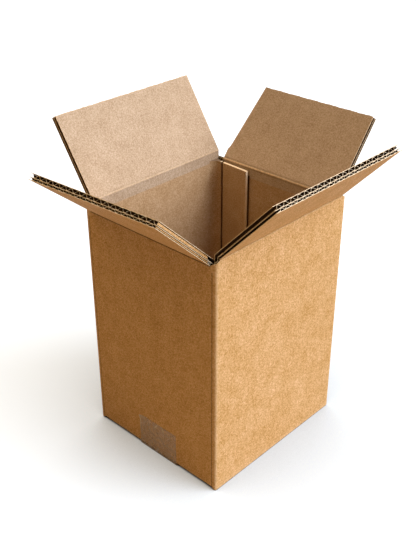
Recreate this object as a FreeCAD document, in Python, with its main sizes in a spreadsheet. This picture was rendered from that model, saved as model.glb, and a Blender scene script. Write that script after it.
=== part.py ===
"""Open regular slotted carton of double-wall corrugated board, in millimetres.

The carton stands on its closed bottom with its four top flaps thrown open. The frame has its
origin at the middle of the bottom face: the front wall faces -Y and the right wall faces +X.
The right and left walls carry the outer flaps, the front and back walls the inner ones.
"""
import FreeCAD, Part
import os
import PartDesign
import Sketcher

doc = FreeCAD.newDocument("open_carton")

# Driving dimensions
SIZES = [
    ("outer_width", 155),
    ("outer_depth", 170),
    ("inner_score_height", 231),
    ("liner", 0.3),
    ("fine_flute", 2.1),
    ("coarse_flute", 3.0),
    ("fine_pitch", 6.4),
    ("coarse_pitch", 7.9),
    ("flute_crest", 1.6),
    ("flute_paper", 0.3),
    ("crushed_strip", 2.5),
    ("flap_length", 77.2),
    ("score_gap", 0.2),
    ("layer_gap", 0.3),
    ("nest_gap", 0.4),
    ("outer_flap_inset", 4.5),
    ("glue_end_trim", 7.5),
    ("glue_end_taper", 11),
    ("slot_depth", 1),
    ("fold_radius", 2.6),
    ("bottom_fold_radius", 1.6),
    ("front_lift", 2),
    ("tab_width", 30),
    ("tab_thickness", 4.6),
    ("tab_taper", 4),
    ("tab_clearance", 2),
    ("tab_top_gap", 0.5),
    ("fold_valley_width", 0.9),
    ("fold_valley_depth", 2.4),
    ("corner_notch", 1.5),
    ("raw_edge_depth", 1.4),
    ("slot_end_depth", 5),
    ("slot_end_width", 2.6),
    ("tape_width", 48),
    ("tape_thickness", 0.12),
    ("tape_rise", 36),
    ("tape_offset", 4.3),
    ("tape_bend", 1.2),
    ("front_lean", 48.5),
    ("right_lean", 43),
    ("back_lean", 38),
    ("left_lean", 33),
    ("overrun", 1),
]
sheet = doc.addObject("Spreadsheet::Sheet", "Sizes")
for row, (alias, value) in enumerate(SIZES, start=1):
    sheet.set("A%d" % row, alias)
    sheet.set("B%d" % row, str(value))
    sheet.setAlias("B%d" % row, alias)
doc.recompute()


def named(expression):
    """Put the sheet's name before every alias of an expression."""
    words = expression.replace("(", "( ").replace(")", " )").split()
    return " ".join("Sizes." + word if word[0].isalpha() else word for word in words)


# Sizes that follow from the driving ones
HALF_WIDTH = "outer_width / 2"
HALF_DEPTH = "outer_depth / 2"
BOARD = "( 3 * liner + fine_flute + coarse_flute )"
OUTER_SCORE = "( inner_score_height + " + BOARD + " + layer_gap )"
SLOT_BOTTOM = "( inner_score_height - slot_depth )"
INNER_FLAP_INSET = "( " + BOARD + " + nest_gap )"
INSIDE_X = "( outer_width / 2 - " + BOARD + " )"
INSIDE_Y = "( outer_depth / 2 - " + BOARD + " )"
INNER_FLAP_FLOOR = "( " + BOARD + " + layer_gap )"


def mirrored(points, flip_x=1, flip_y=1):
    """Repeat an outline on the other side of one axis or both."""
    signs = (flip_x, flip_y)
    return [tuple("%d * ( %s )" % (sign, part) for sign, part in zip(signs, point)) for point in points]


def rectangle(left, right, low, high):
    return [(left, low), (right, low), (right, high), (left, high)]


def new_body(label):
    body = doc.addObject("PartDesign::Body", label)
    body.Label = label
    doc.recompute()
    return body


def sketch_on(body, name, plane, loops, offset=None):
    """Draw closed outlines whose corners are all held by expressions."""
    sketch = body.newObject("Sketcher::SketchObject", name)
    origin_plane = [item for item in body.Origin.OriginFeatures if item.Role == plane][0]
    sketch.AttachmentSupport = [(origin_plane, "")]
    sketch.MapMode = "FlatFace"
    if offset:
        sketch.setExpression("AttachmentOffset.Base.z", named(offset))
    for loop in loops:
        add_outline(sketch, loop)
    return sketch


def add_outline(sketch, points):
    first = sketch.GeometryCount
    count = len(points)
    start = [FreeCAD.Vector(10 * number, 3 * number * number, 0) for number in range(count)]
    for number in range(count):
        line = Part.LineSegment(start[number], start[(number + 1) % count])
        sketch.addGeometry(line, False)
    for number in range(count):
        following = first + (number + 1) % count
        sketch.addConstraint(Sketcher.Constraint("Coincident", first + number, 2, following, 1))
    for number, point in enumerate(points):
        for kind, here, expression in (
            ("DistanceX", start[number].x, point[0]),
            ("DistanceY", start[number].y, point[1]),
        ):
            rule = Sketcher.Constraint(kind, -1, 1, first + number, 1, here)
            index = sketch.addConstraint(rule)
            sketch.setExpression("Constraints[%d]" % index, named(expression))


def pad(body, name, sketch, length, symmetric=False, reversed_way=False):
    feature = body.newObject("PartDesign::Pad", name)
    feature.Profile = sketch
    feature.Midplane = symmetric
    feature.Reversed = reversed_way
    feature.setExpression("Length", named(length))
    doc.recompute()
    return feature


def pocket(body, name, sketch, length, symmetric=False, reversed_way=False):
    """Cut a sketch away, and make sure that it did remove board."""
    before = body.Shape.Volume
    feature = body.newObject("PartDesign::Pocket", name)
    feature.Profile = sketch
    feature.Midplane = symmetric
    feature.Reversed = reversed_way
    feature.setExpression("Length", named(length))
    doc.recompute()
    if body.Shape.Volume >= before:
        raise RuntimeError(name + " removed nothing")
    return feature


def fillet(body, name, base, edges, radius):
    feature = body.newObject("PartDesign::Fillet", name)
    feature.Base = (base, edges)
    feature.setExpression("Radius", named(radius))
    doc.recompute()
    return feature


def edges_where(shape, test):
    """Names of the edges whose middle point and direction pass a test."""
    found = []
    for number, edge in enumerate(shape.Edges, start=1):
        ends = [vertex.Point for vertex in edge.Vertexes]
        if len(ends) == 2 and test((ends[0] + ends[1]) / 2, ends[1] - ends[0]):
            found.append("Edge%d" % number)
    return found


def near(one, other):
    return abs(one - other) < 0.001


def size_of(expression_name):
    return float(sheet.get(expression_name))


# Carton body: four walls, glue lap and the closed bottom, folded from one blank
carton = new_body("carton_body")

ring = sketch_on(carton, "wall_plan", "XY_Plane", [
    rectangle("0 - " + HALF_WIDTH, HALF_WIDTH, "0 - " + HALF_DEPTH, HALF_DEPTH),
    rectangle("0 - " + INSIDE_X, INSIDE_X, "0 - " + INSIDE_Y, INSIDE_Y),
])
walls = pad(carton, "walls", ring, OUTER_SCORE)

# Three corners are folds; the fourth, at the left end of the back wall, is the glued one
half_width = size_of("outer_width") / 2
half_depth = size_of("outer_depth") / 2


def is_folded_corner(middle, way):
    upright = near(way.x, 0) and near(way.y, 0)
    on_corner = near(abs(middle.x), half_width) and near(abs(middle.y), half_depth)
    glued = middle.x < 0 and middle.y > 0
    return upright and on_corner and not glued


def is_side_bottom_fold(middle, way):
    return near(middle.z, 0) and near(abs(middle.x), half_width) and near(way.x, 0)


corner_folds = fillet(carton, "corner_folds", walls,
                      edges_where(walls.Shape, is_folded_corner), "fold_radius")
side_folds = fillet(carton, "side_bottom_folds", corner_folds,
                    edges_where(corner_folds.Shape, is_side_bottom_fold), "bottom_fold_radius")

# Slots that part the flaps, cut a little below the lower scores
slot_corner = [
    (HALF_WIDTH + " - " + INNER_FLAP_INSET, INSIDE_Y + " - overrun"),
    (INSIDE_X, INSIDE_Y + " - overrun"),
    (INSIDE_X, HALF_DEPTH + " - outer_flap_inset"),
    (HALF_WIDTH + " + overrun", HALF_DEPTH + " - outer_flap_inset"),
    (HALF_WIDTH + " + overrun", HALF_DEPTH + " + overrun"),
    (HALF_WIDTH + " - " + INNER_FLAP_INSET, HALF_DEPTH + " + overrun"),
]
slots = sketch_on(carton, "slot_plan", "XY_Plane",
                  [mirrored(slot_corner, x, y) for x in (1, -1) for y in (1, -1)], OUTER_SCORE)
pocket(carton, "slots", slots, OUTER_SCORE + " - " + SLOT_BOTTOM)


def score_cut(outer_face, inner_face, score):
    """Profile above a wall's top: a level cut outside and a 45 degree score inside."""
    return [
        (outer_face + " + overrun", OUTER_SCORE + " + overrun"),
        (inner_face + " - overrun", OUTER_SCORE + " + overrun"),
        (inner_face + " - overrun", score + " - score_gap - " + BOARD + " - overrun"),
        (outer_face, score + " - score_gap"),
        (outer_face + " + overrun", score + " - score_gap"),
    ]


front_back_score = score_cut(HALF_DEPTH, INSIDE_Y, "inner_score_height")
scores = sketch_on(carton, "front_back_score_profile", "YZ_Plane",
                   [mirrored(front_back_score, side) for side in (1, -1)])
pocket(carton, "front_back_scores", scores, "outer_width - 2 * " + INNER_FLAP_INSET, symmetric=True)

right_left_score = score_cut(HALF_WIDTH, INSIDE_X, OUTER_SCORE)
scores = sketch_on(carton, "right_left_score_profile", "XZ_Plane",
                   [mirrored(right_left_score, side) for side in (1, -1)])
pocket(carton, "right_left_scores", scores, "outer_depth - 2 * outer_flap_inset", symmetric=True)

# The front and back walls end a little above the floor, clear of the outer bottom flaps
lift = rectangle(INSIDE_Y + " - overrun", HALF_DEPTH + " + overrun", "0 - overrun", "front_lift")
lifts = sketch_on(carton, "front_back_lift_profile", "YZ_Plane",
                  [mirrored(lift, side) for side in (1, -1)])
lifted = pocket(carton, "front_back_lift", lifts, "2 * " + INSIDE_X, symmetric=True)

front_lift = size_of("front_lift")


def is_front_bottom_fold(middle, way):
    return near(middle.z, front_lift) and near(abs(middle.y), half_depth) and near(way.y, 0)


fillet(carton, "front_back_bottom_folds", lifted,
       edges_where(lifted.Shape, is_front_bottom_fold), "bottom_fold_radius")

# Outer bottom flaps lie on the floor and meet at the seam; the inner pair lies over them
SEAM_EDGE = "( " + HALF_WIDTH + " - flap_length )"
outer_bottom = rectangle(SEAM_EDGE, INSIDE_X + " + overrun",
                         "nest_gap - " + INSIDE_Y, INSIDE_Y + " - nest_gap")
outer_flaps = sketch_on(carton, "outer_bottom_flap_plan", "XY_Plane",
                        [mirrored(outer_bottom, side) for side in (1, -1)])
pad(carton, "outer_bottom_flaps", outer_flaps, BOARD)

inner_bottom = rectangle("nest_gap - " + INSIDE_X, INSIDE_X + " - nest_gap",
                         HALF_DEPTH + " - flap_length", INSIDE_Y + " + overrun")
inner_flaps = sketch_on(carton, "inner_bottom_flap_plan", "XY_Plane",
                        [mirrored(inner_bottom, 1, side) for side in (1, -1)], INNER_FLAP_FLOOR)
pad(carton, "inner_bottom_flaps", inner_flaps, BOARD)

# Glue lap: the left wall's end panel, crushed and glued inside the back wall
# It ends just under the closed back flap
TAB_FOOT = "( " + INNER_FLAP_FLOOR + " + " + BOARD + " + tab_clearance )"
TAB_TOP = "( inner_score_height - " + BOARD + " - tab_top_gap )"
TAB_END = "tab_width - " + INSIDE_X
tab_outline = [
    ("0 - overrun - " + INSIDE_X, TAB_FOOT),
    (TAB_END, TAB_FOOT + " + tab_taper"),
    (TAB_END, TAB_TOP + " - tab_taper"),
    ("0 - overrun - " + INSIDE_X, TAB_TOP),
]
tab = sketch_on(carton, "glue_lap_outline", "XZ_Plane", [tab_outline], "0 - " + INSIDE_Y)
pad(carton, "glue_lap", tab, "tab_thickness")

LAP_FACE = "( " + INSIDE_Y + " - tab_thickness )"
valley = [
    ("0 - " + INSIDE_X, LAP_FACE + " - fold_valley_width"),
    ("0 - " + INSIDE_X + " + overrun", LAP_FACE + " - fold_valley_width"),
    ("fold_valley_width - " + INSIDE_X, LAP_FACE),
    ("0 - fold_valley_depth - " + INSIDE_X, LAP_FACE + " + fold_valley_depth"),
]
valleys = sketch_on(carton, "fold_valley_plan", "XY_Plane", [valley], SLOT_BOTTOM)
pocket(carton, "fold_valley", valleys, SLOT_BOTTOM + " - " + TAB_FOOT)

# Outside, the left wall's fold leaves a notch beside the back wall's raw edge
notch = [
    ("0 - overrun - " + HALF_WIDTH, INSIDE_Y),
    ("corner_notch - " + HALF_WIDTH, INSIDE_Y),
    ("0 - " + HALF_WIDTH, INSIDE_Y + " - corner_notch"),
    ("0 - overrun - " + HALF_WIDTH, INSIDE_Y + " - corner_notch"),
]
notches = sketch_on(carton, "glued_corner_notch_plan", "XY_Plane", [notch])
pocket(carton, "glued_corner_notch", notches, OUTER_SCORE, reversed_way=True)

# The raw edge shows both flute layers between three liners
raw_edge_rows = [
    rectangle("0 - overrun - " + HALF_WIDTH, "raw_edge_depth - " + HALF_WIDTH,
              HALF_DEPTH + " - liner - fine_flute", HALF_DEPTH + " - liner"),
    rectangle("0 - overrun - " + HALF_WIDTH, "raw_edge_depth - " + HALF_WIDTH,
              INSIDE_Y + " + liner", INSIDE_Y + " + liner + coarse_flute"),
]
raw_edges = sketch_on(carton, "raw_edge_plan", "XY_Plane", raw_edge_rows)
pocket(carton, "raw_edge", raw_edges, OUTER_SCORE, reversed_way=True)

# At each slot's foot the cut shows one void of each flute row in the front or back wall
VOID_SIDE = "( " + HALF_WIDTH + " - fold_radius - slot_end_width )"
VOID_END = "( " + HALF_WIDTH + " - fold_radius )"
slot_end_rows = [
    rectangle(VOID_SIDE, VOID_END,
              HALF_DEPTH + " - liner - fine_flute", HALF_DEPTH + " - liner"),
    rectangle(VOID_SIDE, VOID_END,
              INSIDE_Y + " + liner", INSIDE_Y + " + liner + coarse_flute"),
]
slot_ends = sketch_on(carton, "slot_end_plan", "XY_Plane",
                      [mirrored(row, x, y) for row in slot_end_rows for x in (1, -1) for y in (1, -1)],
                      SLOT_BOTTOM)
pocket(carton, "slot_ends", slot_ends, "slot_end_depth")

# The tape beds into the bottom by its own thickness
bed = rectangle("tape_offset - tape_width / 2 - nest_gap", "tape_offset + tape_width / 2 + nest_gap",
                "0 - overrun - " + HALF_DEPTH, HALF_DEPTH + " + overrun")
beds = sketch_on(carton, "tape_bed_plan", "XY_Plane", [bed])
pocket(carton, "tape_bed", beds, "tape_thickness", reversed_way=True)


def flute_loops(near_liner, height, pitch):
    """One open crest and one closed crest of a flute row, as two four-sided voids."""
    half_crest = "flute_crest / 2"
    far_liner = "( " + near_liner + " + " + height + " )"
    crest_up = [
        (half_crest + " + flute_paper / 2", near_liner),
        (pitch + " - " + half_crest + " - flute_paper / 2", near_liner),
        (pitch + " / 2 + " + half_crest + " - flute_paper / 2", far_liner + " - flute_paper"),
        (pitch + " / 2 - " + half_crest + " + flute_paper / 2", far_liner + " - flute_paper"),
    ]
    crest_down = [
        (pitch + " / 2 + " + half_crest + " + flute_paper / 2", far_liner),
        (pitch + " * 3 / 2 - " + half_crest + " - flute_paper / 2", far_liner),
        (pitch + " + " + half_crest + " - flute_paper / 2", near_liner + " + flute_paper"),
        (pitch + " - " + half_crest + " + flute_paper / 2", near_liner + " + flute_paper"),
    ]
    return [crest_up, crest_down]


def cut_flute_row(body, name, left_end, width, near_liner, height, pitch):
    """Cut one row of flute voids from the free edge down to the crushed strip at the score."""
    start = left_end + " - " + pitch + " / 2"
    loops = [[(start + " + " + across, through) for across, through in loop]
             for loop in flute_loops(near_liner, height, pitch)]
    sketch = sketch_on(body, name + "_voids", "XY_Plane", loops, "flap_length")
    depth = "flap_length - score_gap - " + BOARD + " - crushed_strip"
    first = pocket(body, name + "_first", sketch, depth)
    row = body.newObject("PartDesign::LinearPattern", name + "_row")
    row.Originals = [first]
    row.Direction = (sketch, ["H_Axis"])
    row.Mode = "Spacing"
    row.setExpression("Offset", named(pitch))
    row.setExpression("Occurrences", "ceil( " + named(width + " / " + pitch) + " )")
    body.Tip = row
    doc.recompute()


def build_flap(label, left_end, right_end, placement):
    """One top flap: a bevelled root at the score and two rows of open flutes."""
    body = new_body(label)
    width = "( " + right_end + " - " + left_end + " )"
    blank = [
        ("0", "score_gap"),
        (BOARD, "score_gap + " + BOARD),
        (BOARD, "flap_length"),
        ("0", "flap_length"),
    ]
    profile = sketch_on(body, label + "_profile", "YZ_Plane", [blank], left_end)
    pad(body, label + "_board", profile, width)
    cut_flute_row(body, label + "_fine", left_end, width, "liner", "fine_flute", "fine_pitch")
    cut_flute_row(body, label + "_coarse", left_end, width,
                  "( 2 * liner + fine_flute )", "coarse_flute", "coarse_pitch")
    body.setExpression("Placement", placement)
    doc.recompute()
    return body


def hinge_placement(across, along, height, turn, lean):
    """Stand a flap on its score line, turned to its wall and leaning outwards."""
    return "placement( vector( %s ; %s ; %s ); rotation( %d ; 0 ; %s ) )" % (
        named(across), named(along), named(height), turn, named(lean))


INNER_END = "( " + HALF_WIDTH + " - " + INNER_FLAP_INSET + " )"
OUTER_END = "( " + HALF_DEPTH + " - outer_flap_inset )"

front_flap = build_flap(
    "front_flap", "( 0 - " + INNER_END + " )", INNER_END,
    hinge_placement("0", "0 - " + HALF_DEPTH, "inner_score_height", 0, "front_lean"))
right_flap = build_flap(
    "right_flap", "( 0 - " + OUTER_END + " )", OUTER_END,
    hinge_placement(HALF_WIDTH, "0", OUTER_SCORE, 90, "right_lean"))
back_flap = build_flap(
    "back_flap", "( 0 - " + INNER_END + " )", "( " + INNER_END + " - glue_end_trim )",
    hinge_placement("0", HALF_DEPTH, "inner_score_height", 180, "back_lean"))
left_flap = build_flap(
    "left_flap", "( 0 - " + OUTER_END + " )", OUTER_END,
    hinge_placement("0 - " + HALF_WIDTH, "0", OUTER_SCORE, 270, "left_lean"))

# By the glued corner the back flap's end is trimmed aslant, narrower at the free edge
TRIMMED_END = "( " + INNER_END + " - glue_end_trim )"
trim = [
    (TRIMMED_END, "0"),
    (TRIMMED_END + " + overrun", "0"),
    (TRIMMED_END + " + overrun", "flap_length + overrun"),
    (TRIMMED_END + " - glue_end_taper", "flap_length + overrun"),
    (TRIMMED_END + " - glue_end_taper", "flap_length"),
]
trims = sketch_on(back_flap, "slanted_trim_outline", "XZ_Plane", [trim], "0 - " + BOARD + " - overrun")
pocket(back_flap, "slanted_trim", trims, BOARD + " + 2 * overrun", reversed_way=True)

# Clear tape along the bottom seam, its ends turned up the front and back walls
bottom_tape = new_body("bottom_tape")
tape_outline = [
    ("0 - tape_thickness - " + HALF_DEPTH, "tape_rise"),
    ("0 - tape_thickness - " + HALF_DEPTH, "0"),
    ("tape_thickness + " + HALF_DEPTH, "0"),
    ("tape_thickness + " + HALF_DEPTH, "tape_rise"),
    (HALF_DEPTH, "tape_rise"),
    (HALF_DEPTH, "tape_thickness"),
    ("0 - " + HALF_DEPTH, "tape_thickness"),
    ("0 - " + HALF_DEPTH, "tape_rise"),
]
tape_profile = sketch_on(bottom_tape, "tape_profile", "YZ_Plane", [tape_outline],
                         "tape_offset - tape_width / 2")
tape_strip = pad(bottom_tape, "tape_strip", tape_profile, "tape_width")

tape_thickness = size_of("tape_thickness")


def is_outer_bend(middle, way):
    along_x = near(way.y, 0) and near(way.z, 0)
    return along_x and near(middle.z, 0) and abs(middle.y) > half_depth


def is_inner_bend(middle, way):
    along_x = near(way.y, 0) and near(way.z, 0)
    return along_x and near(middle.z, tape_thickness) and near(abs(middle.y), half_depth)


outer_bends = fillet(bottom_tape, "outer_bends", tape_strip,
                     edges_where(tape_strip.Shape, is_outer_bend), "tape_bend + tape_thickness")
fillet(bottom_tape, "inner_bends", outer_bends,
       edges_where(outer_bends.Shape, is_inner_bend), "tape_bend")

# Checks before anything is written
pieces = [carton, front_flap, right_flap, back_flap, left_flap, bottom_tape]
doc.recompute()
for item in doc.Objects:
    if "Invalid" in item.State or "Error" in item.State:
        raise RuntimeError("failed object: " + item.Label)
for piece in pieces:
    shape = piece.Shape
    if shape.isNull() or not shape.isValid() or len(shape.Solids) != 1:
        raise RuntimeError("bad shape: " + piece.Label)

os.makedirs("parts", exist_ok=True)
for piece in pieces:
    piece.Shape.exportStep("parts/" + piece.Label + ".step")
    print(piece.Label, "faces", len(piece.Shape.Faces), "volume", round(piece.Shape.Volume, 1))
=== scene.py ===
import math
import bpy
import numpy as np
from mathutils import Matrix, Vector


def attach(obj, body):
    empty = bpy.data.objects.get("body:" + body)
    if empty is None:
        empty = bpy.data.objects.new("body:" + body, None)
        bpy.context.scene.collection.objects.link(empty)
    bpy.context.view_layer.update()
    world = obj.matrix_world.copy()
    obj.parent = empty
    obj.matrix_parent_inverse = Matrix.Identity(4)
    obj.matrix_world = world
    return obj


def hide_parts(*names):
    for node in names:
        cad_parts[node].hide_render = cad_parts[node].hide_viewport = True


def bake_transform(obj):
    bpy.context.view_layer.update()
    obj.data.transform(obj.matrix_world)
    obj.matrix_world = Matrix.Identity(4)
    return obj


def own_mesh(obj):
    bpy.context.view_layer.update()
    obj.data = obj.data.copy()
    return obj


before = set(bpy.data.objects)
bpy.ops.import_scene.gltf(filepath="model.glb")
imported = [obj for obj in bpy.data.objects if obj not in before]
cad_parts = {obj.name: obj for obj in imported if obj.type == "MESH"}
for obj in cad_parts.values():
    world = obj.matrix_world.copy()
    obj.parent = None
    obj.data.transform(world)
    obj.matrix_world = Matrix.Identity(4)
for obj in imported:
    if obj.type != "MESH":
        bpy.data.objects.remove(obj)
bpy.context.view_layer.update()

# Walls: one strip of double-wall board, scored and folded round three corners.
# Brown kraft liner faces it outside and inside, over a fine and a coarse flute.
# Its two ends meet at the fourth corner, left of the back wall.
HALF_WIDTH = 0.0775
HALF_DEPTH = 0.085
BOARD = 0.006
LOW_SCORE = 0.231
HIGH_SCORE = 0.2373
SLOT_END = 0.0711
SLOT_SIDE = 0.0805
FOLD_RADIUS = 0.0026
INNER_RADIUS = 0.0004
BOTTOM_RADIUS = 0.0012
FRONT_LIFT = 0.0026
FOLD_REACH = 0.003
SIDE_FLAT = 0.0786
FINE_PITCH, COARSE_PITCH = 0.0064, 0.0079


def shell(outer, inner, uv, pale_and_highlight=None, painted_shade=None, papers=(0, 0)):
    """Two grids of points, a sheet's two faces, joined round their rims into a closed shell.

    The corners of each small face are the four neighbours on the grid, row by row. uv holds
    metres across and along the flutes, the pale mark (wear and painted highlight) and the painted
    shade hold a value for each grid point, and papers tells the material of either face; the rim is always a
    cut edge.
    """
    rows, columns = outer.shape[:2]
    count = rows * columns
    index = np.arange(count).reshape(rows, columns)
    face = np.stack([index[:-1, :-1], index[:-1, 1:], index[1:, 1:], index[1:, :-1]], -1).reshape(-1, 4)
    rim = np.concatenate([index[0, :-1], index[:-1, -1], index[-1, :0:-1], index[:0:-1, 0]])
    following = np.roll(rim, -1)
    side = np.stack([following, rim, rim + count, following + count], -1)
    quads = np.concatenate([face, face[:, ::-1] + count, side])
    points = np.concatenate([outer.reshape(-1, 3), inner.reshape(-1, 3)])
    corner = points[quads]
    fan = np.cross(corner[:, 1] - corner[:, 0], corner[:, 2] - corner[:, 0])
    fan = fan + np.cross(corner[:, 2] - corner[:, 0], corner[:, 3] - corner[:, 0])
    if (corner.mean(1) * fan).sum() < 0:
        quads = quads[:, ::-1]
    blank = np.zeros((rows, columns))
    both = [np.tile((blank if value is None else value).reshape(-1), 2) for value in (pale_and_highlight, painted_shade)]
    kind = np.repeat((papers[0], papers[1], 1), (len(face), len(face), len(side)))
    return {"points": points, "quads": quads, "uv": np.tile(uv.reshape(-1, 2), (2, 1)),
            "pale_and_highlight": both[0], "painted_shade": both[1], "kind": kind}


def put_together(name, shells, materials, smooth_angle=40):
    """One mesh object from closed shells laid one after another."""
    start = np.cumsum([0] + [len(part["points"]) for part in shells])[:-1]
    points = np.concatenate([part["points"] for part in shells])
    quads = np.concatenate([part["quads"] + first for part, first in zip(shells, start)])
    mesh = bpy.data.meshes.new(name)
    mesh.vertices.add(len(points))
    mesh.vertices.foreach_set("co", points.astype(np.float32).ravel())
    mesh.loops.add(quads.size)
    mesh.loops.foreach_set("vertex_index", quads.astype(np.int32).ravel())
    mesh.polygons.add(len(quads))
    mesh.polygons.foreach_set("loop_start", np.arange(0, quads.size, 4, dtype=np.int32))
    mesh.update(calc_edges=True)
    layer = mesh.uv_layers.new(name="board")
    uv = np.concatenate([part["uv"] for part in shells])
    layer.data.foreach_set("uv", uv[quads.ravel()].astype(np.float32).ravel())
    for word in ("pale_and_highlight", "painted_shade"):
        attribute = mesh.attributes.new(word, "FLOAT", "POINT")
        value = np.concatenate([part[word] for part in shells])
        attribute.data.foreach_set("value", value.astype(np.float32))
    for material in materials:
        mesh.materials.append(material)
    kind = np.concatenate([part["kind"] for part in shells])
    mesh.polygons.foreach_set("material_index", kind.astype(np.int32))
    mesh.validate()
    mesh.shade_smooth()
    mesh.set_sharp_from_angle(angle=math.radians(smooth_angle))
    piece = bpy.data.objects.new(name, mesh)
    bpy.context.scene.collection.objects.link(piece)
    return piece


def socket_group(name, inputs, outputs):
    """An empty shader node group with named inputs and outputs."""
    group = bpy.data.node_groups.new(name, "ShaderNodeTree")
    for label, kind, value in inputs:
        socket = group.interface.new_socket(label, in_out="INPUT", socket_type=kind)
        if value is not None:
            socket.default_value = value
    for label, kind in outputs:
        group.interface.new_socket(label, in_out="OUTPUT", socket_type=kind)
    return group


def node(tree, kind, inputs=None, **settings):
    """A node with its settings, its inputs given as values or as sockets to link."""
    made = tree.nodes.new(kind)
    for word, value in settings.items():
        setattr(made, word, value)
    for word, value in (inputs or {}).items():
        if isinstance(value, bpy.types.NodeSocket):
            tree.links.new(value, made.inputs[word])
        else:
            made.inputs[word].default_value = value
    return made


def blend_colours(tree, factor, first, second, way="MIX"):
    """Mix two colours, whose sockets in a Mix node are numbers 6 and 7."""
    return node(tree, "ShaderNodeMix", {0: factor, 6: first, 7: second},
                data_type="RGBA", blend_type=way).outputs[2]


def span(tree, value, low, high, to_low=0.0, to_high=1.0):
    """Stretch a value from one range to another, held at its ends."""
    return node(tree, "ShaderNodeMapRange", {
        "Value": value, "From Min": low, "From Max": high, "To Min": to_low, "To Max": to_high,
    }).outputs["Result"]


def calc(tree, operation, *values):
    """One Math node, its inputs given as values or as sockets."""
    return node(tree, "ShaderNodeMath", dict(enumerate(values)), operation=operation).outputs[0]


# Kraft liner is mottled by its fibres, with a few clouds, faint streaks along the flutes
# and small specks, some dark and some pale
kraft = socket_group("kraft_fibres", [
    ("Base", "NodeSocketColor", (0.6, 0.4, 0.2, 1)),
    ("Mottle", "NodeSocketFloat", 0.5),
    ("Streak", "NodeSocketFloat", 0.1),
    ("Fleck", "NodeSocketFloat", 0.2),
    ("Flute Print", "NodeSocketFloat", 0.2),
], [("Color", "NodeSocketColor"), ("Height", "NodeSocketFloat"), ("Roughness", "NodeSocketFloat")])
given = kraft.nodes.new("NodeGroupInput").outputs
spot = node(kraft, "ShaderNodeTexCoord").outputs["Object"]
chart = node(kraft, "ShaderNodeUVMap", uv_map="board").outputs["UV"]
long_way = node(kraft, "ShaderNodeMapping", {"Vector": chart, "Scale": (520, 30, 1)}).outputs[0]
grain = node(kraft, "ShaderNodeTexNoise", {"Vector": spot, "Scale": 820, "Detail": 2}).outputs[0]
cloud = node(kraft, "ShaderNodeTexNoise", {"Vector": spot, "Scale": 70, "Detail": 3}).outputs[0]
speck = node(kraft, "ShaderNodeTexNoise", {"Vector": spot, "Scale": 1300, "Detail": 1}).outputs[0]
streak = node(kraft, "ShaderNodeTexNoise", {"Vector": long_way, "Scale": 1, "Detail": 2}).outputs[0]
tone = calc(kraft, "SUBTRACT", calc(kraft, "MULTIPLY_ADD", cloud, 0.3, grain), 0.65)
tone = calc(kraft, "MULTIPLY_ADD", tone, given["Mottle"], 1.0)
tone = calc(kraft, "MULTIPLY_ADD", calc(kraft, "SUBTRACT", streak, 0.5), given["Streak"], tone)
dark_speck = span(kraft, speck, 0.36, 0.26)
pale_speck = span(kraft, speck, 0.64, 0.74)
tone = calc(kraft, "MULTIPLY_ADD", calc(kraft, "SUBTRACT", pale_speck, dark_speck), given["Fleck"], tone)
purity = calc(kraft, "MULTIPLY_ADD", calc(kraft, "SUBTRACT", 1.0, tone), 0.7, 1.0)
paper = node(kraft, "ShaderNodeHueSaturation", {
    "Color": given["Base"], "Value": tone, "Saturation": purity}).outputs[0]
across_flutes = node(kraft, "ShaderNodeSeparateXYZ", {"Vector": chart}).outputs["X"]
turns = calc(kraft, "DIVIDE", across_flutes, FINE_PITCH / math.tau)
height = calc(kraft, "MULTIPLY", calc(kraft, "SINE", turns), given["Flute Print"])
height = calc(kraft, "MULTIPLY_ADD", grain, 0.8, height)
leaving = kraft.nodes.new("NodeGroupOutput")
kraft.links.new(paper, leaving.inputs["Color"])
kraft.links.new(height, leaving.inputs["Height"])
kraft.links.new(span(kraft, grain, 0.3, 0.7, 0.62, 0.76), leaving.inputs["Roughness"])


# Pale marks, partly wear and partly painted highlight on fold ridges and edges, and painted shade in grooves
# and gaps
wear_highlight_shade = socket_group("wear_highlight_and_painted_shade", [
    ("Color", "NodeSocketColor", (0.5, 0.3, 0.15, 1)),
    ("Pale", "NodeSocketColor", (0.86, 0.66, 0.44, 1)),
    ("Dark", "NodeSocketColor", (0.10, 0.045, 0.015, 1)),
], [("Color", "NodeSocketColor")])
given = wear_highlight_shade.nodes.new("NodeGroupInput").outputs
spot = node(wear_highlight_shade, "ShaderNodeTexCoord").outputs["Object"]
patchy = node(wear_highlight_shade, "ShaderNodeTexNoise", {"Vector": spot, "Scale": 420, "Detail": 2}).outputs[0]
patchy = span(wear_highlight_shade, patchy, 0.35, 0.6, 0.35, 1.0)
# Pale where the board is worn and where a highlight is painted; dark where shade is painted into grooves and
# gaps
pale_wear_and_highlight = node(wear_highlight_shade, "ShaderNodeAttribute", attribute_name="pale_and_highlight").outputs["Fac"]
pale_wear_and_highlight = calc(wear_highlight_shade, "MULTIPLY", pale_wear_and_highlight, patchy)
pressed = node(wear_highlight_shade, "ShaderNodeAttribute", attribute_name="painted_shade").outputs["Fac"]
tone = blend_colours(wear_highlight_shade, pale_wear_and_highlight, given["Color"], given["Pale"])
tone = blend_colours(wear_highlight_shade, pressed, tone, given["Dark"])
leaving = wear_highlight_shade.nodes.new("NodeGroupOutput")
wear_highlight_shade.links.new(tone, leaving.inputs["Color"])


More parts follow.
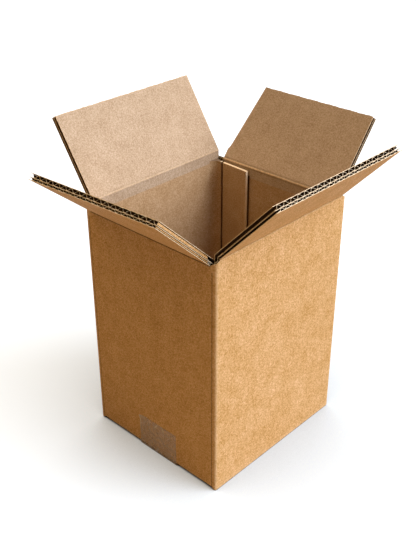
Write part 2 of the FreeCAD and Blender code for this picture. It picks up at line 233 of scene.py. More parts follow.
def board_material(name, specular=0.15, **values):
    """Kraft fibres, then pale wear with painted highlights and painted shade, into one matt paper shader."""
    material = bpy.data.materials.new(name)
    material.use_nodes = True
    tree = material.node_tree
    shader = tree.nodes["Principled BSDF"]
    paper = node(tree, "ShaderNodeGroup", node_tree=kraft)
    for word, value in values.items():
        paper.inputs[word.replace("_", " ")].default_value = value
    folds = node(tree, "ShaderNodeGroup", node_tree=wear_highlight_shade)
    tree.links.new(paper.outputs["Color"], folds.inputs["Color"])
    relief = node(tree, "ShaderNodeBump", {
        "Strength": 0.12, "Distance": 0.0005, "Height": paper.outputs["Height"]})
    tree.links.new(folds.outputs["Color"], shader.inputs["Base Color"])
    tree.links.new(paper.outputs["Roughness"], shader.inputs["Roughness"])
    tree.links.new(relief.outputs["Normal"], shader.inputs["Normal"])
    shader.inputs["Specular IOR Level"].default_value = specular
    return material


# The flute paper is near black: painted shade for the hollows between the liners
BOARD_PAPERS = [
    board_material("outer_kraft_liner", Base=(0.645, 0.405, 0.190, 1), Mottle=1.15, Streak=0.14, Fleck=0.25),
    board_material("cut_liner_edge", Base=(0.93, 0.82, 0.66, 1), Mottle=0.5, Fleck=0.1, Flute_Print=0.0),
    board_material("flute_paper", Base=(0.11, 0.055, 0.02, 1), Mottle=0.5, Flute_Print=0.0),
    board_material("inner_kraft_liner", Base=(0.500, 0.378, 0.275, 1), Mottle=1.0, Streak=0.12, Fleck=0.2),
]

# Inside the walls the liner is a browner, darker copy of the inner liner: painted shade, as the open flaps
# get more white light
INSIDE_PAPERS = BOARD_PAPERS[:3] + [
    board_material("inner_wall_liner_painted_shade", Base=(0.50, 0.335, 0.195, 1), Mottle=0.95, Streak=0.12, Fleck=0.15)]


def corner(side_x, side_y, turn_first):
    """Outer and inner plan lines round one folded corner.

    Outside they run straight, round an arc of the fold radius and straight on; inside they
    follow a much smaller arc. turn_first is true when the path comes along the side wall.
    """
    arc = np.linspace(0, np.pi / 2, 9)
    centre = np.array([HALF_WIDTH - FOLD_RADIUS, HALF_DEPTH - FOLD_RADIUS])
    bend = centre + FOLD_RADIUS * np.column_stack([np.cos(arc), np.sin(arc)])
    lead = [(HALF_WIDTH, value) for value in (SIDE_FLAT, 0.0796, SLOT_SIDE, SLOT_SIDE + 5e-5, 0.0815)]
    tail = [(value, HALF_DEPTH) for value in (0.0738, 0.0731, 0.0724, SLOT_END + 5e-5, SLOT_END)]
    outside = np.concatenate([lead, bend, tail])
    turn = np.linspace(0, np.pi / 2, len(outside))
    hub = np.array([HALF_WIDTH - BOARD - INNER_RADIUS, HALF_DEPTH - BOARD - INNER_RADIUS])
    inside = hub + INNER_RADIUS * np.column_stack([np.cos(turn), np.sin(turn)])
    top = np.where(np.arange(len(outside)) < 3, 1, 0)
    top[-1] = 2
    # Across the rounded fold a painted highlight, and just past it a painted line of shade
    fold_highlight_at, fold_shade_at = np.zeros((2, len(outside)))
    fold_highlight_at[5:14] = (0.1, 0.5, 0.2, 0.6, 0.3, 0.5, 0.2, 0.4, 0.1)
    fold_shade_at[15] = 0.8
    parts = outside * (side_x, side_y), inside * (side_x, side_y), top, fold_highlight_at, fold_shade_at
    return parts if turn_first else [part[::-1] for part in parts]


def flat_stretch(outside, inside, kind):
    """A stretch of the plan with no fold on it."""
    blank = np.zeros(len(outside))
    return np.array(outside), np.array(inside), np.broadcast_to(kind, len(outside)), blank, blank


def side_wall(x, first, last):
    """The plan lines of a side wall, between two corners."""
    along = np.linspace(first, last, 34)[1:-1]
    inner_x = np.sign(x) * (HALF_WIDTH - BOARD)
    return flat_stretch([(x, y) for y in along], [(inner_x, y) for y in along], 1)


def long_wall(y, first, last):
    """The plan lines of the front or back wall, between two corners."""
    along = np.linspace(first, last, 34)[1:-1]
    inner_y = np.sign(y) * (HALF_DEPTH - BOARD)
    return flat_stretch([(x, y) for x in along], [(x, inner_y) for x in along], 2)


# The back wall's raw end stops just short of the corner, and its top is bare as far as its flap is cut back
RAW_END = -0.0766
RAW_PAPERS = 0.0015
BARE_TOP = -0.0636
raw_x = np.array([RAW_END + RAW_PAPERS, -0.071, BARE_TOP - 5e-5])
raw_stretch = flat_stretch([(x, HALF_DEPTH) for x in raw_x], [(x, HALF_DEPTH - BOARD) for x in raw_x], 0)

# The left wall turns in behind that raw end
LAP_FOLD = 0.0022
LAP_BEND = 0.0740
turn = np.linspace(0, np.pi / 2, 8)
hub = np.array([-HALF_WIDTH + LAP_FOLD, HALF_DEPTH - BOARD - LAP_FOLD])
turned = hub + LAP_FOLD * np.column_stack([-np.cos(turn), np.sin(turn)])
lap_out = np.concatenate([[(-HALF_WIDTH, y) for y in (LAP_BEND, 0.0752, 0.07525)],
                          turned, [(-0.0722, 0.0790)]])
lap_in = np.column_stack([np.full(len(lap_out), -0.0715), np.linspace(0.0722, 0.0734, len(lap_out))])
lap_in[-4:] = [(-0.0720, 0.0742), (-0.0729, 0.0755), (-0.0730, 0.0762), (-0.0722, 0.0765)]
lap_stretch = flat_stretch(lap_out, lap_in, np.where(np.arange(len(lap_out)) < 2, 1, 0))

stretches = [
    raw_stretch,
    long_wall(HALF_DEPTH, BARE_TOP - 0.0041, SLOT_END),
    corner(1, 1, False),
    side_wall(HALF_WIDTH, SIDE_FLAT, -SIDE_FLAT),
    corner(1, -1, True),
    long_wall(-HALF_DEPTH, SLOT_END, -SLOT_END),
    corner(-1, -1, False),
    side_wall(-HALF_WIDTH, -SIDE_FLAT, LAP_BEND),
    lap_stretch,
]
plan_out, plan_in, top_kind, plan_fold_highlight, plan_fold_shade = [np.concatenate(parts) for parts in zip(*stretches)]
plan_length = np.concatenate([[0], np.cumsum(np.linalg.norm(np.diff(plan_out, axis=0), axis=1))])

PAPER_FOOT = 0.226
STRAIGHT_FOOT, STRAIGHT_TOP = 0.006, 0.2205
top_out = np.choose(top_kind, [PAPER_FOOT, HIGH_SCORE - FOLD_REACH, LOW_SCORE - FOLD_REACH])
top_in = np.choose(top_kind, [PAPER_FOOT, HIGH_SCORE - FOLD_REACH - BOARD, LOW_SCORE - FOLD_REACH - BOARD])
on_front = np.clip((HALF_WIDTH - 0.0010 - np.abs(plan_out[:, 0])) / 0.004, 0, 1)
on_front = on_front * (np.abs(plan_out[:, 1]) > HALF_DEPTH - FOLD_RADIUS)
foot = FRONT_LIFT * on_front * on_front * (3 - 2 * on_front)


def wall_section():
    """The wall's points, a row for each height and depth, a column for each step of the plan.

    Rows go from under the foot round its bevel, up the outside, over the top and down the
    inside. A point lies on the outer and inner plan lines mixed by its depth.
    """
    curl = np.linspace(0, np.pi / 2, 5)
    rows = [(depth, foot + lift) for depth, lift in zip(
        BOTTOM_RADIUS * (1 - np.sin(curl)), BOTTOM_RADIUS * (1 - np.cos(curl)))]
    heights = np.linspace(STRAIGHT_FOOT, STRAIGHT_TOP, 26)
    blank = np.zeros_like(foot)
    rows += [(0.0, blank + height) for height in heights]
    rows += [(0.0, STRAIGHT_TOP + (top_out - STRAIGHT_TOP) * share) for share in (0.25, 0.5, 0.75, 1.0)]
    outside = len(rows)
    rows += [(BOARD, STRAIGHT_TOP + (top_in - STRAIGHT_TOP) * share) for share in (1.0, 0.6, 0.2)]
    rows += [(BOARD, blank + height) for height in heights[::-1]]
    rows += [(BOARD, foot)]
    if len(rows) % 2:
        rows += [((BOARD + BOTTOM_RADIUS) / 2, foot)]
    share = np.array([depth for depth, _ in rows])[:, None, None] / BOARD
    plan = plan_out * (1 - share) + plan_in * share
    return np.concatenate([plan, np.stack([height for _, height in rows])[:, :, None]], -1), outside


def tube(loop, uv, pale_and_highlight, painted_shade, row_kind):
    """A closed section at every step of a path, its two ends filled by a strip of faces."""
    rows, columns = loop.shape[:2]
    index = np.arange(rows * columns).reshape(rows, columns)
    around = np.concatenate([index, index[:1]])
    quads = np.stack([around[:-1, :-1], around[:-1, 1:], around[1:, 1:], around[1:, :-1]], -1).reshape(-1, 4)
    half = rows // 2
    caps = []
    for column, order in ((0, 1), (columns - 1, -1)):
        up = index[:half, column]
        down = index[::-1, column][:half]
        cap = np.stack([up[:-1], up[1:], down[1:], down[:-1]], -1)
        caps.append(cap[:, ::order])
    quads = np.concatenate([quads] + caps)
    points = loop.reshape(-1, 3)
    corners = points[quads]
    fan = np.cross(corners[:, 1] - corners[:, 0], corners[:, 2] - corners[:, 0])
    fan = fan + np.cross(corners[:, 2] - corners[:, 0], corners[:, 3] - corners[:, 0])
    if (corners.mean(1) * fan).sum() < 0:
        quads = quads[:, ::-1]
    kind = np.ones(len(quads), dtype=int)
    kind[:rows * (columns - 1)] = np.repeat(row_kind, columns - 1)
    return {"points": points, "quads": quads, "uv": uv.reshape(-1, 2), "pale_and_highlight": pale_and_highlight.reshape(-1),
            "painted_shade": painted_shade.reshape(-1), "kind": kind}


section, outside_rows = wall_section()
section_uv = np.stack([np.broadcast_to(plan_length, section.shape[:2]), section[:, :, 2]], -1)
on_outside = (np.arange(len(section)) < outside_rows)[:, None]
# A painted reflection along the rounded foot, with the corners' painted highlight and shade, on the outside
# only
foot_reflection = np.clip(1 - np.abs(section[:, :, 2] - foot - 0.0008) / 0.0018, 0, 1) * 0.35
wall_painted_light = on_outside * np.maximum(np.broadcast_to(plan_fold_highlight, foot_reflection.shape), foot_reflection)
wall_painted_shade = on_outside * np.broadcast_to(plan_fold_shade, foot_reflection.shape)
row_kind = np.where(np.arange(len(section)) < outside_rows - 1, 0, 3)
row_kind[outside_rows - 1] = 1
wall_tube = tube(section, section_uv, wall_painted_light, wall_painted_shade, row_kind)
walls = put_together("folded_walls", [wall_tube], INSIDE_PAPERS)
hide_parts("carton_body")
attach(walls, "carton")


# Bare edges: between two flaps the wall's top is cut open, and so is the back wall's end.
# Three liners show there, and between them a finely and a coarsely fluted paper.
LINER = 0.0004
LINER_DEPTHS = (0.0, 0.00225, BOARD - LINER)
# The liner faces toward the flutes take the near-black flute paper, painted shade inside the board
LINER_PAPERS = ((0, 2), (2, 2), (2, 3))
MEDIUM = 0.00032
FLUTES = ((FINE_PITCH, 0.0004, 0.0024), (COARSE_PITCH, 0.0026, 0.0056))


def plain(across, along, number):
    """No pale mark or painted shade anywhere."""
    return np.zeros_like(across)


def rubbed_a_little(across, along, number):
    """The same slight wear everywhere."""
    return np.full_like(across, 0.3)


def board_layers(lines, along, lay, shift, pale_and_highlight=plain, painted_shade=plain, wave_rows=None, tuck=0.0):
    """The five papers of double-wall board as closed shells.

    lay(across, along, depth) gives a point; the two fluted papers swing from liner to liner
    as a sine of the way across, flattened at its crests, and keep tuck away from the cut sides.
    """
    shells = []
    grid_u, grid_v = np.meshgrid(lines, along)
    for number, top in enumerate(LINER_DEPTHS):
        uv = np.stack([grid_u + shift, grid_v + number], -1)
        shells.append(shell(lay(grid_u, grid_v, np.full_like(grid_u, top)),
                            lay(grid_u, grid_v, np.full_like(grid_u, top + LINER)),
                            uv, pale_and_highlight(grid_u, grid_v, number), painted_shade(grid_u, grid_v, number),
                            LINER_PAPERS[number]))
    low, high = lines[0] + tuck, lines[-1] - tuck
    for pitch, top, bottom in FLUTES:
        across = np.linspace(low, high, int((high - low) / pitch * 14) + 2)
        grid_u, grid_v = np.meshgrid(across, along if wave_rows is None else wave_rows)
        swing = np.sin(grid_u / pitch * math.tau + shift * 900)
        swing = np.clip(1.22 * swing, -1, 1) * 0.7 + swing * 0.3
        middle = (top + bottom) / 2 + swing * (bottom - top - MEDIUM) / 2
        uv = np.stack([grid_u + shift, grid_v + 5], -1)
        shells.append(shell(lay(grid_u, grid_v, middle - MEDIUM / 2),
                            lay(grid_u, grid_v, middle + MEDIUM / 2), uv, papers=(2, 2)))
    return shells


def under_side_score(x, y):
    """The lowest height of a side score over a point of the plan; beyond the slots there is none."""
    return np.where(np.abs(y) < SLOT_SIDE, HIGH_SCORE - FOLD_REACH - HALF_WIDTH + np.abs(x), 1.0)


def bare_corner(first, last, tops):
    """The papers standing on the wall between two steps of its plan, sloping from top to top."""
    outside, inside = plan_out[first:last + 1], plan_in[first:last + 1]
    length = plan_length[first:last + 1] - plan_length[first]

    def lay(across, along, depth):
        share = depth / BOARD
        x, y = [np.interp(across, length, outside[:, axis]) * (1 - share)
                + np.interp(across, length, inside[:, axis]) * share for axis in (0, 1)]
        top = np.minimum(np.interp(across, length[[0, -1]], tops), under_side_score(x, y))
        return np.stack([x, y, PAPER_FOOT + along / 0.005 * (top - PAPER_FOOT)], -1)

    lines = np.union1d(length, np.linspace(0, length[-1], 14))
    return board_layers(lines, np.array([0, 0.002, 0.0045, 0.005]), lay, first * 0.13, rubbed_a_little,
                        wave_rows=np.array([0, 0.0025, 0.0044]))


def raw_board(across, along, depth):
    """A point of the back wall's papers: across along the wall from its raw end, along upwards."""
    x, y = across + RAW_END, HALF_DEPTH - depth
    return np.stack([x, y, np.minimum(along, under_side_score(x, y))], -1)


RAW_HEIGHTS = np.array([0.003, 0.05, 0.12, 0.19, PAPER_FOOT])
BARE_HEIGHTS = np.array([PAPER_FOOT, 0.2285, 0.2304, 0.2308])
bare = board_layers(np.linspace(0, RAW_PAPERS, 3), RAW_HEIGHTS, raw_board, 0.2)
bare += board_layers(np.linspace(0, BARE_TOP - RAW_END, 16), BARE_HEIGHTS, raw_board, 0.2, rubbed_a_little,
                     wave_rows=np.array([PAPER_FOOT, 0.2285, 0.2303]))
edges = np.flatnonzero(np.diff(np.concatenate([[0], top_kind == 0, [0]])))
NEAR_LOW, NEAR_HIGH = 0.2315, 0.2365
for first, last, tops in zip(edges[2::2], edges[3::2], (
        (NEAR_LOW, NEAR_HIGH), (NEAR_HIGH, NEAR_LOW), (NEAR_LOW, NEAR_HIGH), (0.2343, 0.231))):
    bare += bare_corner(first, last - 1, tops)
bare_edges = put_together("bare_edges", bare, BOARD_PAPERS)
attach(bare_edges, "carton")


# Glue lap: past its fold the left wall goes on as a lap, pressed and glued inside the back wall.
# Its free edge shows the liner, pale with a painted highlight, over crushed flutes whose gap is painted as
# shadow by a dark sheet, and above the glue it stands up to the fold.
LAP_FACE, LAP_BACK, LAP_GLUE = 0.0744, 0.0772, 0.0789
LAP_START, LAP_END, GLUE_END = -0.0716, -0.0305, -0.0350
LAP_LOW, LAP_HIGH = 0.0143, 0.2242
LOOSE_FOLD = 0.0085
loose = np.linspace(np.pi, np.pi / 2, 11)
loose_hub = np.array([LAP_START + LOOSE_FOLD, LAP_FACE - LOOSE_FOLD])
lap_line = np.concatenate([
    loose_hub + LOOSE_FOLD * np.column_stack([np.cos(loose), np.sin(loose)]),
    [(-0.0626, 0.0746), (-0.0623, 0.0753), (-0.0621, 0.0768), (-0.0611, 0.0768), (-0.0609, 0.0753),
     (-0.0606, 0.0746), (-0.0601, LAP_FACE)],
    [(x, LAP_FACE) for x in np.linspace(-0.059, LAP_END - 0.0009, 16)],
    [(LAP_END - 0.0003, LAP_FACE), (LAP_END, LAP_FACE + 0.0002)]])
# The groove after the loose fold is painted dark: painted shade
lap_groove_shade = np.zeros(len(lap_line))
lap_groove_shade[11:17] = (0.5, 0.9, 1, 1, 0.9, 0.5)


def lap_shell(line, back, low, high, pale_and_highlight, dark=0.0, loose_top=0.0):
    """An upright strip: the line in plan, the same line moved to back, between low and high."""
    share = np.concatenate([[0, 0.003], np.linspace(0.02, 0.98, 14), [0.997, 1]])[:, None]
    height = low + (high - low) * share
    line_x, line_y = [np.broadcast_to(line[:, axis], height.shape) for axis in (0, 1)]
    front = np.stack([line_x, line_y, height], -1)
    rear = front.copy()
    rear[:, :, 1] = np.maximum(back, front[:, :, 1] + 0.0004)
    # dark paints shade onto the strip, and loose_top paints the top of the loose fold darker
    groove = np.maximum(dark, loose_top * (share > 0.99) * (line[:, 0] < LAP_START + LOOSE_FOLD))
    uv = np.stack([line_x - 0.3, height], -1)
    return shell(front, rear, uv, pale_and_highlight(front, share), groove, (3, 3))


def plain_lap(front, share):
    """No wear on the strip."""
    return np.zeros(front.shape[:2])


def lap_edge_pale_and_highlight(front, share):
    """Pale along the lap's free edge: its cut liner with a painted highlight."""
    return np.where(front[:, :, 0] > LAP_END - 0.0005, 0.6, 0.0)


def lap_top_pale_and_highlight(front, share):
    """Pale along the free edge, and a painted highlight along the top past the loose fold."""
    pressed = front[:, :, 0] > LAP_START + LOOSE_FOLD + 0.002
    return np.maximum(lap_edge_pale_and_highlight(front, share), pressed * (share > 0.99) * 0.8)


lap_slope = (lap_line[:, 0] - LAP_START) / (LAP_END - LAP_START)
glue_line = np.array([(x, LAP_BACK) for x in np.linspace(LAP_START, GLUE_END, 8)])
# A dark sheet in the gap behind the lap's free end, reaching a little past it: painted shadow
gap_shadow_line = np.array([(GLUE_END, LAP_GLUE - 0.0002), (LAP_END + 0.0008, LAP_GLUE - 0.0002)])
gap_shadow_sheet = lap_shell(gap_shadow_line, LAP_GLUE, np.full(2, 0.0190), np.full(2, LAP_HIGH), plain_lap, 1.0)
lap = put_together("glue_lap", [
    gap_shadow_sheet,
    lap_shell(lap_line, LAP_BACK, LAP_LOW + 0.004 * lap_slope, np.full(len(lap_line), LAP_HIGH),
              lap_edge_pale_and_highlight, lap_groove_shade),
    lap_shell(glue_line, LAP_GLUE, np.full(8, 0.019), np.full(8, LAP_HIGH), plain_lap),
], INSIDE_PAPERS)
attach(lap, "carton")

lap_top = put_together("glue_lap_top", [
    lap_shell(lap_line, LAP_BACK, np.full(len(lap_line), LAP_HIGH), 0.2308 - 0.0012 * lap_slope,
              lap_top_pale_and_highlight, lap_groove_shade, 0.85),
], INSIDE_PAPERS)
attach(lap_top, "carton")
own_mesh(lap_top)


# Bottom flaps: the side pair lies on the floor and meets at the seam under the tape.
# The front and back pair is folded in first and lies over it, leaving a strip open.
FLAP_LENGTH = 0.0772
INNER_FLOOR = BOARD + 0.0003
BOTTOM_START = 0.0052


def edged(low, high, count):
    """Even steps from low to high, with closer ones at both ends."""
    return np.concatenate([[low, low + 0.0004, low + 0.0010], np.linspace(low + 0.003, high - 0.003, count),
                           [high - 0.0010, high - 0.0004, high]])


def bottom_flap(name, turn, hinge, floor, half):
    """A flap folded in under the walls: across runs along its wall, along runs inwards."""
    cos, sin = math.cos(turn), math.sin(turn)

    def lay(across, along, depth):
        inward = along - hinge
        return np.stack([across * cos - inward * sin, across * sin + inward * cos, floor + depth], -1)

    along = np.concatenate([np.linspace(BOTTOM_START, FLAP_LENGTH - 0.002, 9),
                            [FLAP_LENGTH - 0.0008, FLAP_LENGTH]])
    flap = put_together(name, board_layers(edged(-half, half, 30), along, lay, 0.37 + turn,
                                           wave_rows=along[[0, -2, -1]]), INSIDE_PAPERS)
    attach(flap, "carton")


bottom_flap("right_bottom_flap", math.pi / 2, HALF_WIDTH, 0.0, SIDE_FLAT)
bottom_flap("left_bottom_flap", math.pi * 3 / 2, HALF_WIDTH, 0.0, SIDE_FLAT)
bottom_flap("front_bottom_flap", 0.0, HALF_DEPTH, INNER_FLOOR, SLOT_END)
bottom_flap("back_bottom_flap", math.pi, HALF_DEPTH, INNER_FLOOR, SLOT_END)


# Top flaps: each is one panel of the blank, cut square, with its flutes open at the free edge.
# It is thrown open past upright and hinges on the paper of its score; the front one hangs askew,
# and the back one is cut back and slants in beside the glued corner.
# ridge, groove and outside set how strong a score's painted highlight and painted shade are; groove also
# presses the inner liner in
TOP_FLAPS = {
    "front_flap": {"turn": 0, "score": LOW_SCORE, "out": HALF_DEPTH, "lean": 48.5, "twist": -2.0,
                   "width": (-SLOT_END, SLOT_END), "ridge": 0.6, "groove": 0.4, "outside": 1.0,
                   "flank": True},
    "right_flap": {"turn": 90, "score": HIGH_SCORE, "out": HALF_WIDTH, "lean": 43,
                   "width": (-SLOT_SIDE, SLOT_SIDE), "ridge": 0.6, "groove": 0.4, "outside": 0.5},
    "back_flap": {"turn": 180, "score": LOW_SCORE, "out": HALF_DEPTH, "lean": 38, "taper": 0.011,
                  "width": (-SLOT_END, -BARE_TOP), "ridge": 1.0, "groove": 0.65, "outside": 0.6},
    "left_flap": {"turn": 270, "score": HIGH_SCORE, "out": HALF_WIDTH, "lean": 33,
                  "width": (-SLOT_SIDE, SLOT_SIDE), "ridge": 0.35, "groove": 0.15, "outside": 0.6},
}


CUT_SIDE_TUCK = 0.0030


def leaned(flap, across):
    """The flap's lean in radians; a twist changes it evenly from end to end."""
    return np.radians(flap["lean"] + flap.get("twist", 0) * across / SLOT_END)


def at_flap(flap, across, inward, height):
    """Turn a section's inward and upward measures from the score's outer line to the flap's side."""
    turn = math.radians(flap["turn"])
    outward = inward - flap["out"]
    return np.stack([across * math.cos(turn) - outward * math.sin(turn),
                     across * math.sin(turn) + outward * math.cos(turn), flap["score"] + height], -1)


def ragged(across, depth, number):
    """How far a paper's cut edge strays, as three waves of different lengths."""
    phase = number * 2.1 + depth * 900
    return 0.00013 * (np.sin(across * 310 + phase) + 0.8 * np.sin(across * 870 + phase * 2.3)
                      + 0.6 * np.sin(across * 2600 + phase * 3.1))


def flap_shells(flap, number):
    """The papers of a top flap from beyond its score to its free edge."""
    low, high = flap["width"]

    def lay(across, along, depth):
        share = along / FLAP_LENGTH
        across = low + (across - low) * (1 - flap.get("taper", 0) * share / (high - low))
        root = np.clip((0.012 - along) / 0.009, 0, 1)
        stray = np.where(share > 0.995, ragged(across, depth, number) - 0.0001, 0)
        along, lean = along + depth * root + stray, leaned(flap, across)
        return at_flap(flap, across, depth * np.cos(lean) - along * np.sin(lean),
                       depth * np.sin(lean) + along * np.cos(lean))

    def pale_and_highlight(across, along, layer):
        edge = np.minimum(np.minimum(across - low, high - across), FLAP_LENGTH - along)
        return np.clip(1 - edge / 0.0008, 0, 1) * 0.6

    along = np.concatenate([[0.003, 0.004, 0.006, 0.010], np.linspace(0.016, 0.070, 10),
                            [0.0745, 0.0760, 0.0767, FLAP_LENGTH]])
    wave_rows = np.array([0.003, 0.006, 0.04, 0.0745, 0.0762, FLAP_LENGTH - 0.0004])
    shells = board_layers(edged(low, high, 90), along, lay, number * 0.41, pale_and_highlight,
                          wave_rows=wave_rows, tuck=CUT_SIDE_TUCK)
    if "flank" in flap:
        for _, top, bottom in FLUTES:
            depth, row = np.meshgrid([top + 0.0006, bottom - 0.0005], along[:-1])
            sides = [lay(np.full_like(row, edge), row, depth) for edge in (high - 0.0006, high - 0.0009)]
            shells.append(shell(*sides, np.stack([depth, row], -1), papers=(0, 0)))
    return shells


for number, (name, flap) in enumerate(TOP_FLAPS.items()):
    board = put_together(name + "_board", flap_shells(flap, number), BOARD_PAPERS)
    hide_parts(name)
    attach(board, name)


# Scores: the same papers bend here, pressed thin by the scoring wheel.
# Outside they pinch into a groove with painted shade in it, between lips with painted highlights, and inside
# they go round as a ridge with a painted highlight and painted shade either side.
SCORE_PLACES = np.array([-1, -0.75, -0.5, -0.36, -0.24, -0.16, -0.08] + [0] * 7
                        + [0.08, 0.16, 0.24, 0.36, 0.5, 0.75, 1])
SCORE_BEND = np.concatenate([np.zeros(7), np.linspace(0, 1, 7), np.ones(7)])
SCORE_ROWS = np.arange(len(SCORE_PLACES)).astype(float)
TIGHT_FOLD = 0.0012


def peak(value, middle, reach):
    """One at the middle, falling evenly to nothing at reach from it."""
    return np.clip(1 - np.abs(value - middle) / reach, 0, 1)


def score_shells(flap, number):
    """The papers across one score, between the wall's top and the flap's root.

    A paper runs straight up the wall, round an arc of at most the tight radius and straight up
    the flap. Its two straights would meet at depth times tan of half the lean above the score.
    """
    def lay(across, row, depth):
        place = np.interp(row, SCORE_ROWS, SCORE_PLACES)
        lean = leaned(flap, across)
        turned = lean * np.interp(row, SCORE_ROWS, SCORE_BEND)
        share = depth / BOARD
        depth = depth + 0.0007 * (1 - share) ** 2 * peak(place, 0, 0.25)
        depth = depth - 0.0003 * flap["groove"] * share ** 2 * peak(np.abs(place), 0.11, 0.08)
        radius = np.minimum(depth, TIGHT_FOLD)
        rise = (depth - radius) * np.tan(lean / 2)
        straight = place * (FOLD_REACH + share * BOARD + rise)
        return at_flap(flap, across, depth - radius + radius * np.cos(turned) - straight * np.sin(turned),
                       rise + radius * np.sin(turned) + straight * np.cos(turned))

    # Painted highlights: on the lips beside the outer groove and on the inner ridge
    def pale_and_highlight(across, row, layer):
        place = np.abs(np.interp(row, SCORE_ROWS, SCORE_PLACES))
        lips = peak(place, 0.3, 0.14) * 0.5
        return (lips, lips * 0, peak(place, 0, 0.08) * flap["ridge"])[layer]

    # Painted shade: in the outer groove and either side of the inner ridge
    def painted_shade(across, row, layer):
        place = np.abs(np.interp(row, SCORE_ROWS, SCORE_PLACES))
        groove = peak(place, 0, 0.4) * flap["outside"]
        return (groove, groove * 0, peak(place, 0.12, 0.08) * flap["groove"])[layer]

    return board_layers(edged(*flap["width"], 60), SCORE_ROWS, lay, number * 0.41, pale_and_highlight, painted_shade,
                        SCORE_ROWS[[0, 3, 6, 8, 10, 12, 14, 17, 20]], 0.0008)


for number, (name, flap) in enumerate(TOP_FLAPS.items()):
    score = put_together(name + "_score", score_shells(flap, number), BOARD_PAPERS)
    turn = math.radians(flap["turn"])
    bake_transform(score)


# Tape: one strip of clear packing tape along the bottom seam, pressed up the front and back walls.
# It is thin film with a slightly hazy back, cut by a toothed blade. One tip of it has lifted, and
# it is whiter there, in its two wrinkles and along the upper part of one side.
TAPE_HALF = 0.024
TAPE_MIDDLE = 0.0043
TAPE_RISE = 0.036
FILM = 0.00012
TAPE_PRESS = 0.0012
TAPE_BEND = 0.0014
TAPE_THICKNESS = 0.00008
TIP_WIDTH, TIP_HEIGHT, TIP_LIFT = 0.008, 0.007, 0.0018
WRINKLES = ((-0.0019, 0.0035, 0.7), (0.0072, 0.0045, -0.4))
WRINKLE_WIDTH, WRINKLE_LENGTH, WRINKLE_RISE = 0.0007, 0.003, 0.0003
TOOTH = 0.0005

bend = np.linspace(0.2, math.pi / 2, 5)
rise = np.linspace(0.0016, TAPE_RISE, 24)
front_bend = np.column_stack([-HALF_DEPTH - FILM + TAPE_PRESS * (1 - np.cos(bend)),
                              TAPE_BEND * (1 - np.sin(bend))])
front_rise = np.column_stack([np.full(24, -HALF_DEPTH - FILM), rise])
flat_run = np.column_stack([np.linspace(-0.080, 0.080, 24), np.zeros(24)])
tape_path = np.concatenate([front_rise[::-1], front_bend, flat_run,
                            front_bend[::-1] * (-1, 1), front_rise * (-1, 1)])
tape_across = np.linspace(-TAPE_HALF, TAPE_HALF, 97) + TAPE_MIDDLE
grid_x = np.broadcast_to(tape_across, (len(tape_path), len(tape_across)))
grid_y = np.broadcast_to(tape_path[:, :1], grid_x.shape).copy()
grid_z = np.broadcast_to(tape_path[:, 1:], grid_x.shape).copy()
teeth = TOOTH * np.abs((np.arange(len(tape_across)) % 4) - 2) / 2
grid_z[0] -= teeth
grid_z[-1] -= teeth

# The lifted tip curls away as the square of the way to the corner, and each wrinkle is
# a narrow bell-shaped ridge
at_front = grid_y < -HALF_DEPTH
tip = np.clip(1 - (grid_x - tape_across[0]) / TIP_WIDTH, 0, 1)
tip = tip * np.clip(1 - (TAPE_RISE - grid_z) / TIP_HEIGHT, 0, 1)
grid_y -= at_front * TIP_LIFT * tip ** 2
side_white = np.clip((grid_z - TAPE_RISE + 0.019) / 0.012, 0, 1) * (grid_x < tape_across[2])
tape_white = at_front * np.maximum(0.6 * tip, side_white)
for beside, below, lean in WRINKLES:
    x, z = TAPE_MIDDLE + beside, TAPE_RISE - below
    away = (grid_x - x - lean * (grid_z - z)) / WRINKLE_WIDTH
    ridge = at_front * np.exp(-away ** 2 - ((grid_z - z) / WRINKLE_LENGTH) ** 2)
    grid_y -= WRINKLE_RISE * ridge
    tape_white = np.maximum(tape_white, ridge)
tape_outer = np.stack([grid_x, grid_y, grid_z], -1)
normal = np.gradient(tape_path, axis=0)
normal = np.stack([-normal[:, 1], normal[:, 0]], -1)
normal = normal / np.linalg.norm(normal, axis=1, keepdims=True)
tape_inner = tape_outer.copy()
tape_inner[:, :, 1:] += normal[:, None] * TAPE_THICKNESS
tape_length = np.linspace(0, 0.24, len(tape_path))[:, None]
tape_uv = np.stack([grid_x, np.broadcast_to(tape_length, grid_x.shape)], -1)

film = bpy.data.materials.new("hazy_tape_film")
film.use_nodes = True
tree = film.node_tree
shader = tree.nodes["Principled BSDF"]
spot = node(tree, "ShaderNodeTexCoord").outputs["Object"]
haze = node(tree, "ShaderNodeTexNoise", {"Vector": spot, "Scale": 220, "Detail": 4}).outputs[0]
white = node(tree, "ShaderNodeAttribute", attribute_name="pale_and_highlight").outputs["Fac"]
alpha = calc(tree, "MULTIPLY_ADD", white, 0.3, span(tree, haze, 0.3, 0.7, 0.30, 0.38))
tone = blend_colours(tree, span(tree, haze, 0.3, 0.7), (0.62, 0.52, 0.46, 1), (0.72, 0.63, 0.57, 1))
tone = blend_colours(tree, white, tone, (1, 0.96, 0.9, 1))
tree.links.new(tone, shader.inputs["Base Color"])
tree.links.new(alpha, shader.inputs["Alpha"])
tree.links.new(span(tree, haze, 0.3, 0.7, 0.25, 0.4), shader.inputs["Roughness"])
tape = put_together("tape_strip", [shell(tape_outer, tape_inner, tape_uv, tape_white)], [film, film])
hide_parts("bottom_tape")
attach(tape, "carton")


# Studio: a white floor that keeps the soft shadow, deepened near the box by painted shadow, a broad lamp
# from the right and behind, a weaker warm one from above and a little to the front left, and the
# photograph's camera.
def direct_rays(tree):
    """The mask of the rays that show the background itself: camera, glossy and transmission."""
    seen = node(tree, "ShaderNodeLightPath").outputs
    return calc(tree, "MAXIMUM", calc(tree, "MAXIMUM", seen["Is Camera Ray"], seen["Is Glossy Ray"]),
                seen["Is Transmission Ray"])


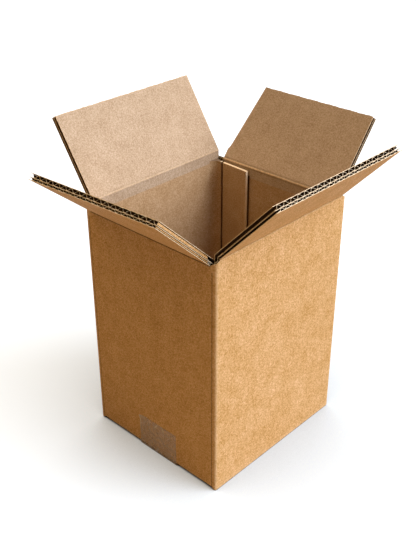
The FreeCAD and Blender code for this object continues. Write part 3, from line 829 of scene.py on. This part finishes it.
FLOOR_HALF = 6.0
FLOOR_SEEN = (0.40, 0.46, 0.54, 1)
FLOOR_BOUNCE = (0.45, 0.32, 0.17, 1)
FLOOR_LIFT = 0.86
FLOOR_SHADE, FLOOR_SHADE_POWER = 0.22, 1.5
CONTACT_REACH, CONTACT_SHUT, CONTACT_OPEN = 0.008, 0.26, 0.46
CONTACT_COLOUR = (0.01, 0.01, 0.01, 1)
WORLD_LIGHT = 0.05
KEY_WAY, KEY_LIGHT = (0.72, 0.38, 0.58), 1.19
FILL_WAY, FILL_LIGHT, FILL_TINT = (-0.14, -0.24, 0.95), 0.46, (1, 0.64, 0.26)
mesh = bpy.data.meshes.new("floor")
mesh.from_pydata([(-FLOOR_HALF, -FLOOR_HALF, 0), (FLOOR_HALF, -FLOOR_HALF, 0),
                  (FLOOR_HALF, FLOOR_HALF, 0), (-FLOOR_HALF, FLOOR_HALF, 0)], [], [(0, 1, 2, 3)])
floor = bpy.data.objects.new("floor", mesh)
bpy.context.scene.collection.objects.link(floor)
ground = bpy.data.materials.new("white_floor")
ground.use_nodes = True
tree = ground.node_tree
shader = tree.nodes["Principled BSDF"]
shader.inputs["Roughness"].default_value = 0.9
shader.inputs["Specular IOR Level"].default_value = 0.0
shader.inputs["Emission Color"].default_value = (0.97, 1.0, 1.03, 1)
seen = direct_rays(tree)
# Where ambient occlusion is low, near the box and under its walls, the floor's colour fades to a near-black
# contact colour and its glow dims: a painted shadow
uncovered = node(tree, "ShaderNodeAmbientOcclusion", {"Distance": CONTACT_REACH}, samples=16).outputs["AO"]
uncovered = span(tree, uncovered, CONTACT_SHUT, CONTACT_OPEN)
floor_colour = blend_colours(tree, uncovered, CONTACT_COLOUR, FLOOR_SEEN)
tree.links.new(blend_colours(tree, seen, FLOOR_BOUNCE, floor_colour), shader.inputs["Base Color"])
open_sky = node(tree, "ShaderNodeAmbientOcclusion", {"Distance": FLOOR_SHADE}, samples=8).outputs["AO"]
open_sky = calc(tree, "MULTIPLY", calc(tree, "POWER", open_sky, FLOOR_SHADE_POWER), uncovered)
glow = calc(tree, "MULTIPLY", calc(tree, "MULTIPLY", seen, open_sky), FLOOR_LIFT)
tree.links.new(glow, shader.inputs["Emission Strength"])
mesh.materials.append(ground)

world = bpy.data.worlds.new("studio")
bpy.context.scene.world = world
world.use_nodes = True
tree = world.node_tree
tree.nodes.clear()
dim = node(tree, "ShaderNodeBackground", {"Color": (1, 0.86, 0.62, 1), "Strength": WORLD_LIGHT}).outputs[0]
white = node(tree, "ShaderNodeBackground", {"Color": (1, 1, 1, 1), "Strength": 1.0}).outputs[0]
both = node(tree, "ShaderNodeMixShader", {0: direct_rays(tree), 1: dim, 2: white}).outputs[0]
node(tree, "ShaderNodeOutputWorld", {"Surface": both})


def broad_lamp(name, toward, strength, angle, tint=(1, 1, 1)):
    """A far soft lamp: the same light everywhere, from a disc of that angle in degrees."""
    data = bpy.data.lights.new(name, "SUN")
    data.energy = strength * math.pi
    data.angle = math.radians(angle)
    data.color = tint
    lamp = bpy.data.objects.new(name, data)
    lamp.rotation_euler = Vector(toward).to_track_quat("Z", "Y").to_euler()
    bpy.context.scene.collection.objects.link(lamp)


broad_lamp("key_lamp", KEY_WAY, KEY_LIGHT, 46)
broad_lamp("warm_fill", FILL_WAY, FILL_LIGHT, 70, FILL_TINT)

AZIMUTH, ELEVATION, ROLL = math.radians(43.12), math.radians(30.31), math.radians(-0.04)
CAMERA_PLACE = (0.4572, -0.4997, 0.5522)
right = np.array([math.cos(AZIMUTH), math.sin(AZIMUTH), 0])
back = np.array([math.sin(AZIMUTH) * math.cos(ELEVATION), -math.cos(AZIMUTH) * math.cos(ELEVATION),
                 math.sin(ELEVATION)])
up = np.cross(back, right)
view_x = math.cos(ROLL) * right + math.sin(ROLL) * up
view_y = -math.sin(ROLL) * right + math.cos(ROLL) * up
camera_data = bpy.data.cameras.new("camera")
camera_data.lens = 55.0
camera_data.sensor_width = 36
camera_data.clip_start = 0.01
camera = bpy.data.objects.new("camera", camera_data)
place = np.eye(4)
place[:3, 0], place[:3, 1], place[:3, 2] = view_x, view_y, back
place[:3, 3] = CAMERA_PLACE
camera.matrix_world = Matrix(place.tolist())
bpy.context.scene.collection.objects.link(camera)
bpy.context.scene.camera = camera
bpy.context.scene.view_settings.view_transform = "Standard"
